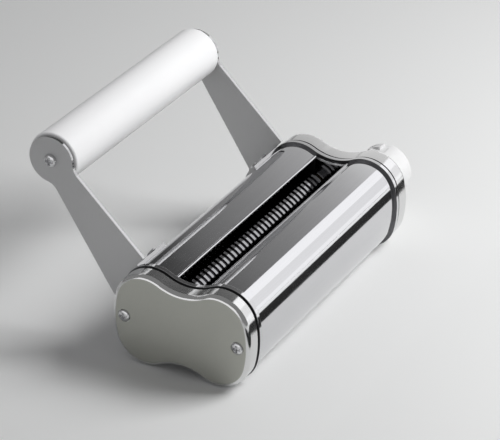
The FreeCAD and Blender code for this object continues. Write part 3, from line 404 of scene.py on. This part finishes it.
rollers = (("front", 0.0, 36, FRONT_FAR_END), ("rear", 2 * MID_Y, 35, REAR_FAR_END))
for row, y, rings, far_end in rollers:
    near_face, far_face = MIDDLE - HALF_LENGTH, MIDDLE + HALF_LENGTH
    near_groove, far_groove = near_face - TO_NEAR_CLIP, far_face + TO_FAR_CLIP
    near_end = near_groove - NEAR_STUB
    profile = [
        (near_end, 0.0),
        (near_end, JOURNAL - BROKEN_EDGE),
        (near_end + BROKEN_EDGE, JOURNAL),
        (near_groove - CLIP_GROOVE, JOURNAL),
        (near_groove - CLIP_GROOVE, CLIP_SEAT),
        (near_groove, CLIP_SEAT),
        (near_groove, JOURNAL),
        (near_face, JOURNAL),
        (near_face, GROOVE_RADIUS),
        (far_face, GROOVE_RADIUS),
        (far_face, JOURNAL),
        (far_groove, JOURNAL),
        (far_groove, CLIP_SEAT),
        (far_groove + CLIP_GROOVE, CLIP_SEAT),
        (far_groove + CLIP_GROOVE, JOURNAL),
        (far_end - BROKEN_EDGE, JOURNAL),
        (far_end, JOURNAL - BROKEN_EDGE),
        (far_end, 0.0),
    ]
    bar = made(f"{row}_roller_rings", turned(profile, sides=ROLLER_SIDES, y=y, z=0.0), ground_steel)
    sizes = {
        "Rings": rings,
        "First": (MIDDLE - PITCH * (rings - 1) / 2, y, 0.0),
        "Pitch": PITCH,
        "Radius": RING_RADIUS,
        "Width": RING_WIDTH,
    }
    settle(bar, rings_tree, sizes)
    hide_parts(f"{row}_roller")
    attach(bar, f"{row}_roller_set")

# Gears, clips, coupling and pin. Cut and turned from plain steel: a spur gear on each journal's flat, a
# sprung clip in each groove, and a pinned sleeve with the square tail that the mixer turns.
turned_steel = drawn_steel("turned_steel", (0.62, 0.62, 0.63), 0.24, 0.14, (2400.0, 90.0, 90.0), depth=6e-7)
for row in ("front", "rear"):
    for name in ("gear", "near_clip", "far_clip"):
        dressed(f"{row}_{name}", f"{row}_roller_set", turned_steel)
for name in ("drive_coupling", "coupling_pin"):
    dressed(name, "front_roller_set", turned_steel)

# Tie rods and guide rod. Drawn steel bars, tapped at both ends: two hold the plates apart behind the cap
# screws, and one carries the guide roller between the arms.
for name in ("front_tie_rod", "rear_tie_rod", "guide_rod"):
    dressed(name, "frame", turned_steel)

# Combs. Dark moulded bars under the outlet, each screwed between the plates, with a finger in every groove
# that lifts the strands off the roller.
comb_plastic = Finish("dark_comb_plastic")
speckle = comb_plastic.noise(1500.0, 3.0)
comb_plastic.set("Base Color", speckle.blend((0.035, 0.035, 0.038), (0.062, 0.062, 0.068)))
comb_plastic.set("Roughness", 0.42 + speckle * 0.2)
comb_plastic.bump(speckle, 1.2e-5)
for row in ("front", "rear"):
    dressed(f"{row}_comb", "frame", comb_plastic.material)

# Covers. Two polished steel sheets, a millimetre thick, bent round the rollers from the feed slot to the
# outlet; their lips are hemmed into a round bead, and the plates' steps hold their ends.
CORNER_RADIUS, CORNER_Y, CORNER_Z = 0.0174, 0.0199, 0.0077
SIDE_RADIUS, SIDE_Y = 0.052, -0.01383
VALLEY_RADIUS, VALLEY_Z = 0.0268, 0.04717
COVER_INSET, COVER_WALL = 0.001, 0.001
CLEAR_WIDTH = 0.1505
NEAR_END, FAR_END = MIDDLE - CLEAR_WIDTH / 2, MIDDLE + CLEAR_WIDTH / 2
HEM_RADIUS, HEM_GAP, HEM_EDGE = 0.0009, 0.0013, 0.0002


def arc(centre, radius, start, end, count):
    steps = [start + (end - start) * i / count for i in range(count + 1)]
    return [(centre[0] + radius * math.cos(a), centre[1] + radius * math.sin(a)) for a in steps]


def cover_line(inset):
    """A cover's section from its upper lip round to its lower one, so far below the caps' outline."""
    corner, side, valley = CORNER_RADIUS - inset, SIDE_RADIUS - inset, VALLEY_RADIUS + inset
    low = math.atan2(CORNER_Z, CORNER_Y - SIDE_Y)
    high = math.atan2(VALLEY_Z - CORNER_Z, -CORNER_Y)
    upper = arc((0.0, VALLEY_Z), valley, -math.acos(SLOT_HALF / valley), high - math.pi, 22)
    upper += arc((CORNER_Y, CORNER_Z), corner, high, low, 60)[1:]
    upper += arc((SIDE_Y, 0.0), side, low, 0.0, 14)[1:]
    return upper + [(y, -z) for y, z in reversed(upper[:-1])]


def add_into(work, shape):
    """Add one bmesh to another, and free the one that was added."""
    spare = bpy.data.meshes.new("spare")
    shape.to_mesh(spare)
    shape.free()
    work.from_mesh(spare)
    bpy.data.meshes.remove(spare)


def cover(side):
    """The bent sheet and its two hems, on the front for side -1 and on the rear for side 1."""
    work = bmesh.new()
    outer, inner = cover_line(COVER_INSET), cover_line(COVER_INSET + COVER_WALL)
    outline = outer + inner[::-1]
    ends = []
    for x in (NEAR_END, FAR_END):
        ends.append([work.verts.new((x, MID_Y + side * y, z)) for y, z in outline])
    count = len(outline)
    for i in range(count):
        j = (i + 1) % count
        work.faces.new((ends[0][i], ends[0][j], ends[1][j], ends[1][i]))
    half = len(outer)
    for loop in ends:
        for i in range(half - 1):
            work.faces.new((loop[i], loop[i + 1], loop[count - 2 - i], loop[count - 1 - i]))
    bmesh.ops.recalc_face_normals(work, faces=work.faces)
    valley = VALLEY_RADIUS + COVER_INSET + COVER_WALL / 2
    lip_z = VALLEY_Z - math.sqrt(valley * valley - SLOT_HALF * SLOT_HALF)
    start, end = NEAR_END + HEM_GAP, FAR_END - HEM_GAP
    hem = [
        (start, 0.0),
        (start, HEM_RADIUS - HEM_EDGE),
        (start + HEM_EDGE, HEM_RADIUS),
        (end - HEM_EDGE, HEM_RADIUS),
        (end, HEM_RADIUS - HEM_EDGE),
        (end, 0.0),
    ]
    for z in (lip_z, -lip_z):
        add_into(work, turned(hem, sides=20, y=MID_Y + side * SLOT_HALF, z=z))
    return work


rolling = (14.0, 1500.0, 1500.0)
polished_sheet = drawn_steel("polished_sheet", (0.72, 0.72, 0.735), 0.05, 0.03, rolling, depth=3e-8)
for name, side in (("front_cover", -1), ("rear_cover", 1)):
    sheet = made(f"{name}_sheet", cover(side), polished_sheet)
    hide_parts(name)
    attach(sheet, "frame")

# End caps. Cast caps with a satin face and a rounded, polished edge; the near one is plain, and the deep far
# one houses the gears and is pierced for the hub.
NEAR_FACE, FAR_FACE = -0.17935, -0.002
WALL_BEGINS, WALL_FULL = 0.00003, 0.00015


def cap_metal(name, face_x, towards):
    """Satin on the flat face, polished on the rounded edge and the wall behind it."""
    finish = Finish(name)
    grain = finish.noise(1.0, 4.0, (3000.0, 3000.0, 240.0))
    cloud = finish.noise(30.0, 2.0)
    depth = (finish.axis(0) - face_x) * -towards
    wall = depth.between(WALL_BEGINS, WALL_FULL)
    satin = (grain * 0.5 + cloud * 0.5).blend((0.415, 0.418, 0.383), (0.508, 0.512, 0.47))
    finish.set("Base Color", wall.mix(satin, (0.74, 0.74, 0.74, 1.0)))
    finish.set("Metallic", 1.0)
    finish.set("Roughness", (0.36 + grain * 0.12) * (1 - wall) + wall * (0.1 + grain * 0.05))
    finish.bump(grain * (1 - wall), 1.5e-6)
    return finish.material


for end, face_x, towards in (("near", NEAR_FACE, -1), ("far", FAR_FACE, 1)):
    dressed(f"{end}_end_cap", "frame", cap_metal(f"{end}_cap_metal", face_x, towards))

# Screws. Bright pan-head screws with a cross recess hold the caps to the tie rods and the arms to the guide
# rod; the hidden ones in the combs and the hub's flange have plain heads.
bright_screw = drawn_steel("bright_screw_steel", (0.74, 0.74, 0.75), 0.14, 0.12, (300.0, 300.0, 300.0))
RECESS_REACH, RECESS_DEPTH, BAR_SHARE = 1.3, 0.9, 0.32
screw_sizes = {"Recess": "NodeSocketFloat", "Depth": "NodeSocketFloat"}
screw_tree, taken, given = new_tree("cross_recess_screws", screw_sizes)
times = {"operation": "MULTIPLY"}
narrow = tree_node(screw_tree, "ShaderNodeMath", times, {0: taken.outputs["Recess"], 1: BAR_SHARE})
deep = tree_node(screw_tree, "ShaderNodeMath", times, {0: taken.outputs["Depth"], 1: 2.0})
long_side, short_side = taken.outputs["Recess"], narrow.outputs[0]
bars = []
for wide, high in ((long_side, short_side), (short_side, long_side)):
    size = tree_node(screw_tree, "ShaderNodeCombineXYZ", {}, {0: deep.outputs[0], 1: wide, 2: high})
    bars.append(tree_node(screw_tree, "GeometryNodeMeshCube", {}, {"Size": size.outputs[0]}))
cross = tree_node(screw_tree, "GeometryNodeMeshBoolean", {"operation": "UNION", "solver": "EXACT"}, {})
for bar in bars:
    screw_tree.links.new(bar.outputs[0], cross.inputs["Mesh 2"])
spots = tree_node(
    screw_tree, "GeometryNodeInputNamedAttribute", {"data_type": "FLOAT"}, {"Name": "head_top"}
)
chosen = tree_node(
    screw_tree,
    "FunctionNodeCompare",
    {"data_type": "FLOAT", "operation": "GREATER_THAN"},
    {0: spots.outputs[0], 1: 0.5},
)
points = tree_node(
    screw_tree,
    "GeometryNodeMeshToPoints",
    {},
    {"Mesh": taken.outputs["Mesh"], "Selection": chosen.outputs[0]},
)
recesses = tree_node(
    screw_tree,
    "GeometryNodeInstanceOnPoints",
    {},
    {"Points": points.outputs[0], "Instance": cross.outputs[0]},
)
real = tree_node(screw_tree, "GeometryNodeRealizeInstances", {}, {0: recesses.outputs[0]})
cut = tree_node(
    screw_tree,
    "GeometryNodeMeshBoolean",
    {"operation": "DIFFERENCE", "solver": "EXACT"},
    {"Mesh 1": taken.outputs["Mesh"]},
)
screw_tree.links.new(real.outputs[0], cut.inputs["Mesh 2"])
coloured = tree_node(
    screw_tree, "GeometryNodeSetMaterial", {}, {"Geometry": cut.outputs[0], "Material": bright_screw}
)
screw_tree.links.new(coloured.outputs[0], given.inputs[0])

CAP_SCREWS = {"radius": 0.00325, "height": 0.002, "shank": 0.002}
ROD_SCREWS = {"radius": 0.0035, "height": 0.0022, "shank": 0.002}
CAP_SCREW_YS = (-0.01875, 0.04425)
NEAR_CAP_SEAT, FAR_CAP_SEAT = -0.17855, -0.0028
NEAR_CAP_SHANK, FAR_CAP_SHANK, ROD_SHANK = 0.0223, 0.0239, 0.0098
GUIDE_Y, GUIDE_Z = 0.09355, 0.0665
ARM_FACES = ((-0.165, -1), (-0.018, 1))
DOME_FOOT = 0.4
DOME_TURNS = (0.0, 0.35, 0.7, 1.0, 1.25, 1.42)
near_places = [(NEAR_CAP_SEAT, y, 0.0, -1) for y in CAP_SCREW_YS]
far_places = [(FAR_CAP_SEAT, y, 0.0, 1) for y in CAP_SCREW_YS]
rod_places = [(x, GUIDE_Y, GUIDE_Z, out) for x, out in ARM_FACES]
groups = (
    ("near_cap_screws", CAP_SCREWS, NEAR_CAP_SHANK, near_places),
    ("far_cap_screws", CAP_SCREWS, FAR_CAP_SHANK, far_places),
    ("guide_rod_screws", ROD_SCREWS, ROD_SHANK, rod_places),
)
for name, size, length, places in groups:
    work = bmesh.new()
    tops = []
    radius, height, shank = size["radius"], size["height"], size["shank"]
    for x, y, z, out in places:
        tip = x - out * length
        profile = [(tip, 0.0), (tip, shank), (x, shank), (x, radius)]
        for turn in DOME_TURNS:
            rise = height * (DOME_FOOT + (1 - DOME_FOOT) * math.sin(turn))
            profile.append((x + out * rise, radius * math.cos(turn)))
        profile.append((x + out * height, 0.0))
        add_into(work, turned(profile, sides=40, y=y, z=z))
        tops.append(Vector((x + out * height, y, z)))
    heads = made(f"{name}_heads", work, bright_screw, 40.0)
    mark = heads.data.attributes.new("head_top", "FLOAT", "POINT")
    for i, vertex in enumerate(heads.data.vertices):
        mark.data[i].value = 1.0 if any((vertex.co - top).length < 1e-5 for top in tops) else 0.0
    settle(heads, screw_tree, {"Recess": radius * RECESS_REACH, "Depth": height * RECESS_DEPTH})
    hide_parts(name)
    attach(heads, "frame")
for name in ("near_comb_screws", "far_comb_screws", "hub_screws"):
    dressed(name, "frame", bright_screw)

# Drive hub. A pale moulded barrel, screwed behind the far cap's face, that slides into the mixer's outlet;
# its mouth is rounded and has two bayonet slots.
hub_plastic = Finish("pale_hub_plastic")
cloud = hub_plastic.noise(55.0, 2.0)
pitted = hub_plastic.noise(1900.0, 2.0)
hub_plastic.set("Base Color", cloud.blend((0.78, 0.78, 0.785), (0.83, 0.83, 0.83)))
hub_plastic.set("Roughness", 0.26 + pitted * 0.12)
hub_plastic.bump(pitted, 4e-6)
dressed("drive_hub", "frame", hub_plastic.material)

# Arms. Flat steel blanks with a round head and a foot folded into a saddle on the rear cover, brushed along
# their length; rivets with low flat heads hold each saddle to the cover.
arm_steel = Finish("brushed_arm_steel")
brushing = arm_steel.noise(1.0, 4.0, (2600.0, 2600.0, 40.0), (-0.72, 0.0, 0.0))
handled = arm_steel.noise(30.0, 2.0)
flat = arm_steel.facing_x()
arm_steel.set("Base Color", (brushing * 0.6 + handled * 0.4).blend((0.455, 0.455, 0.46), (0.55, 0.55, 0.555)))
arm_steel.set("Metallic", 1.0)
arm_steel.set("Roughness", flat * (0.22 + brushing * 0.16 + handled * 0.08) + 0.1)
arm_steel.bump(brushing * flat, 8e-7)
for end in ("near", "far"):
    dressed(f"{end}_arm", "frame", arm_steel.material, edge=0.00025)
    dressed(f"{end}_arm_rivets", "frame", turned_steel, edge=0.00025)

# Guide roller. A smooth white moulded cylinder that turns freely on its rod between the arms, with broken
# edges and a faint bloom.
white_plastic = Finish("white_guide_plastic")
bloom = white_plastic.noise(24.0, 3.0)
fine = white_plastic.noise(1.0, 2.0, (900.0, 220.0, 220.0))
white_plastic.set("Base Color", bloom.blend((0.865, 0.865, 0.875), (0.905, 0.905, 0.91)))
white_plastic.set("Roughness", 0.36 + fine * 0.12)
white_plastic.bump(fine, 2e-6)
start, end, reach, hole = -0.1627, -0.0203, 0.01365, 0.00405
ROUNDED = 0.001
quarter = [i * math.pi / 12 for i in range(7)]
edge = [(ROUNDED * (1 - math.cos(a)), ROUNDED * (1 - math.sin(a))) for a in quarter]
profile = [(start, hole)] + [(start + x, reach - drop) for x, drop in edge]
profile += [(end - x, reach - drop) for x, drop in reversed(edge)] + [(end, hole), (start, hole)]
barrel = turned(profile, sides=112, y=GUIDE_Y, z=GUIDE_Z)
bmesh.ops.remove_doubles(barrel, verts=barrel.verts, dist=1e-7)
bmesh.ops.recalc_face_normals(barrel, faces=barrel.faces)
barrel = made("guide_roller_barrel", barrel, white_plastic.material)
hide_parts("guide_roller")
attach(barrel, "guide")

# Studio. A pale floor, one large soft light on the right with two small fills for the white roller, a
# backdrop of bright bands and a dark card that only the polished steel mirrors, and the camera.
FLOOR = cad_box[0][2]


def stage_sheet(name, corners, material):
    mesh = bpy.data.meshes.new(name)
    mesh.from_pydata(corners, [], [tuple(range(len(corners)))])
    mesh.materials.append(material)
    sheet = bpy.data.objects.new(name, mesh)
    bpy.context.scene.collection.objects.link(sheet)
    return sheet


def only_mirrored(sheet):
    for ray in ("camera", "diffuse", "transmission", "volume_scatter", "shadow"):
        setattr(sheet, f"visible_{ray}", False)


paper = Finish("pale_paper")
paper.set("Base Color", paper.noise(3.0, 2.0).blend((0.895, 0.901, 0.898), (0.913, 0.918, 0.915)))
paper.set("Roughness", 0.8)
stage_sheet("floor", [(-4, -4, FLOOR), (4, -4, FLOOR), (4, 4, FLOOR), (-4, 4, FLOOR)], paper.material)

black_card = Finish("black_card")
black_card.set("Base Color", black_card.noise(40.0).blend((0.008, 0.008, 0.008), (0.012, 0.012, 0.012)))
black_card.set("Roughness", 0.9)
CARD_FRONT, CARD_REAR, CARD_LIFT = -0.17, -0.073, FLOOR + 0.0003
edge_corners = [(x, CARD_FRONT, CARD_LIFT) for x in (-0.3, 0.7)]
edge_corners += [(x, CARD_REAR, CARD_LIFT) for x in (0.7, -0.3)]
only_mirrored(stage_sheet("edge_card", edge_corners, black_card.material))


def glow(name, brightness):
    """An even, faintly blue white light."""
    finish = Finish(name)
    finish.set("Base Color", (0.0, 0.0, 0.0, 1.0))
    finish.set("Emission Color", finish.noise(2.0, 1.0).blend((0.97, 0.97, 1.0), (1.0, 1.0, 1.0)))
    finish.set("Emission Strength", brightness)
    return finish.material


def light_band(name, low, high, brightness):
    """A far band of the softbox between two turns about X, along the cone that the sheets mirror."""
    corners, count, far = [], 16, 1.2
    for lean, turns in ((0.62, range(count + 1)), (0.9, range(count, -1, -1))):
        out = far * math.sqrt(1 - lean * lean)
        for i in turns:
            turn = math.radians(low + (high - low) * i / count)
            corners.append((MIDDLE + far * lean, out * math.cos(turn), out * math.sin(turn)))
    work = bmesh.new()
    last = len(corners) - 1
    made_of = [work.verts.new(corner) for corner in corners]
    for i in range(count):
        work.faces.new((made_of[i], made_of[i + 1], made_of[last - i - 1], made_of[last - i]))
    band = made(name, work, glow(name, brightness))
    only_mirrored(band)


for name, low, high, brightness in (
    ("softbox_top", 103.5, 136.0, 1.25),
    ("softbox_middle", 136.0, 168.0, 1.0),
    ("softbox_foot", 168.0, 190.0, 1.2),
):
    light_band(name, low, high, brightness)
END_X, END_TOP = -1.2, 0.65
end_corners = [(END_X, -0.5, FLOOR), (END_X, 0.95, FLOOR), (END_X, 0.95, END_TOP), (END_X, -0.5, END_TOP)]
only_mirrored(stage_sheet("end_card", end_corners, glow("end_card", 1.0)))

world = bpy.data.worlds.new("studio")
bpy.context.scene.world = world
world.use_nodes = True
sky = world.node_tree.nodes["Background"]
direction = Value(world.node_tree, None).node("ShaderNodeTexCoord", {}, {}, 0)
along = direction.node("ShaderNodeSeparateXYZ", {}, {0: direction}, 0)
greys = (
    (0.0, 0.24),
    (0.69, 0.24),
    (0.735, 0.05),
    (0.755, 0.06),
    (0.7595, 0.16),
    (0.782, 0.3),
    (0.796, 0.47),
    (0.802, 0.56),
    (0.806, 0.9),
)
stops = [(place, (grey, grey, grey)) for place, grey in greys]
room = along.node("ShaderNodeValToRGB", {"stops": stops}, {0: along})
mirrored = along.node("ShaderNodeLightPath", {}, {}, 3)
even = mirrored.mix((0.18, 0.18, 0.182, 1.0), room)
world.node_tree.links.new(even.socket, sky.inputs["Color"])


def soft_light(name, place, target, wide, power):
    """A square lamp that lights the object and isn't mirrored in it."""
    light = bpy.data.lights.new(name, "AREA")
    light.size = wide
    light.energy = power
    lamp = bpy.data.objects.new(name, light)
    bpy.context.scene.collection.objects.link(lamp)
    lamp.location = place
    lamp.rotation_euler = (Vector(target) - Vector(place)).to_track_quat("-Z", "Y").to_euler()
    lamp.visible_glossy = False
    return lamp


soft_light("side_softbox", (0.28, -0.55, 0.66), (-0.09, 0.02, 0.0), 0.5, 8.05)
lit = bpy.data.collections.new("lit_by_roller_fills")
lit.objects.link(barrel)
for name, place, power in (
    ("roller_top_fill", (-0.3, 0.6, 0.8), 1.6),
    ("roller_front_fill", (-0.75, -0.55, 0.12), 0.9),
):
    fill = soft_light(name, place, (-0.09, 0.094, 0.067), 0.4, power)
    fill.light_linking.receiver_collection = lit

camera = bpy.data.cameras.new("photo_camera")
camera.sensor_width = 36.0
camera.lens = 181.6
camera.clip_start = 0.05
azimuth, elevation, roll = math.radians(-152.03), math.radians(28.67), math.radians(0.77)
DISTANCE, SHIFT_RIGHT, SHIFT_UP = 1.2896, -0.00777, 0.01751
ground = math.cos(elevation)
back = Vector((ground * math.cos(azimuth), ground * math.sin(azimuth), math.sin(elevation)))
level = (-back).cross(Vector((0, 0, 1))).normalized()
rise = level.cross(-back)
right = level * math.cos(roll) + rise * math.sin(roll)
up = rise * math.cos(roll) - level * math.sin(roll)
eye = Vector((MIDDLE, MID_Y, 0.0)) + back * DISTANCE + right * SHIFT_RIGHT + up * SHIFT_UP
stand = bpy.data.objects.new("photo_camera", camera)
bpy.context.scene.collection.objects.link(stand)
stand.matrix_world = Matrix((right, up, back)).transposed().to_4x4()
stand.location = eye
bpy.context.scene.camera = stand
bpy.context.scene.view_settings.view_transform = "Standard"
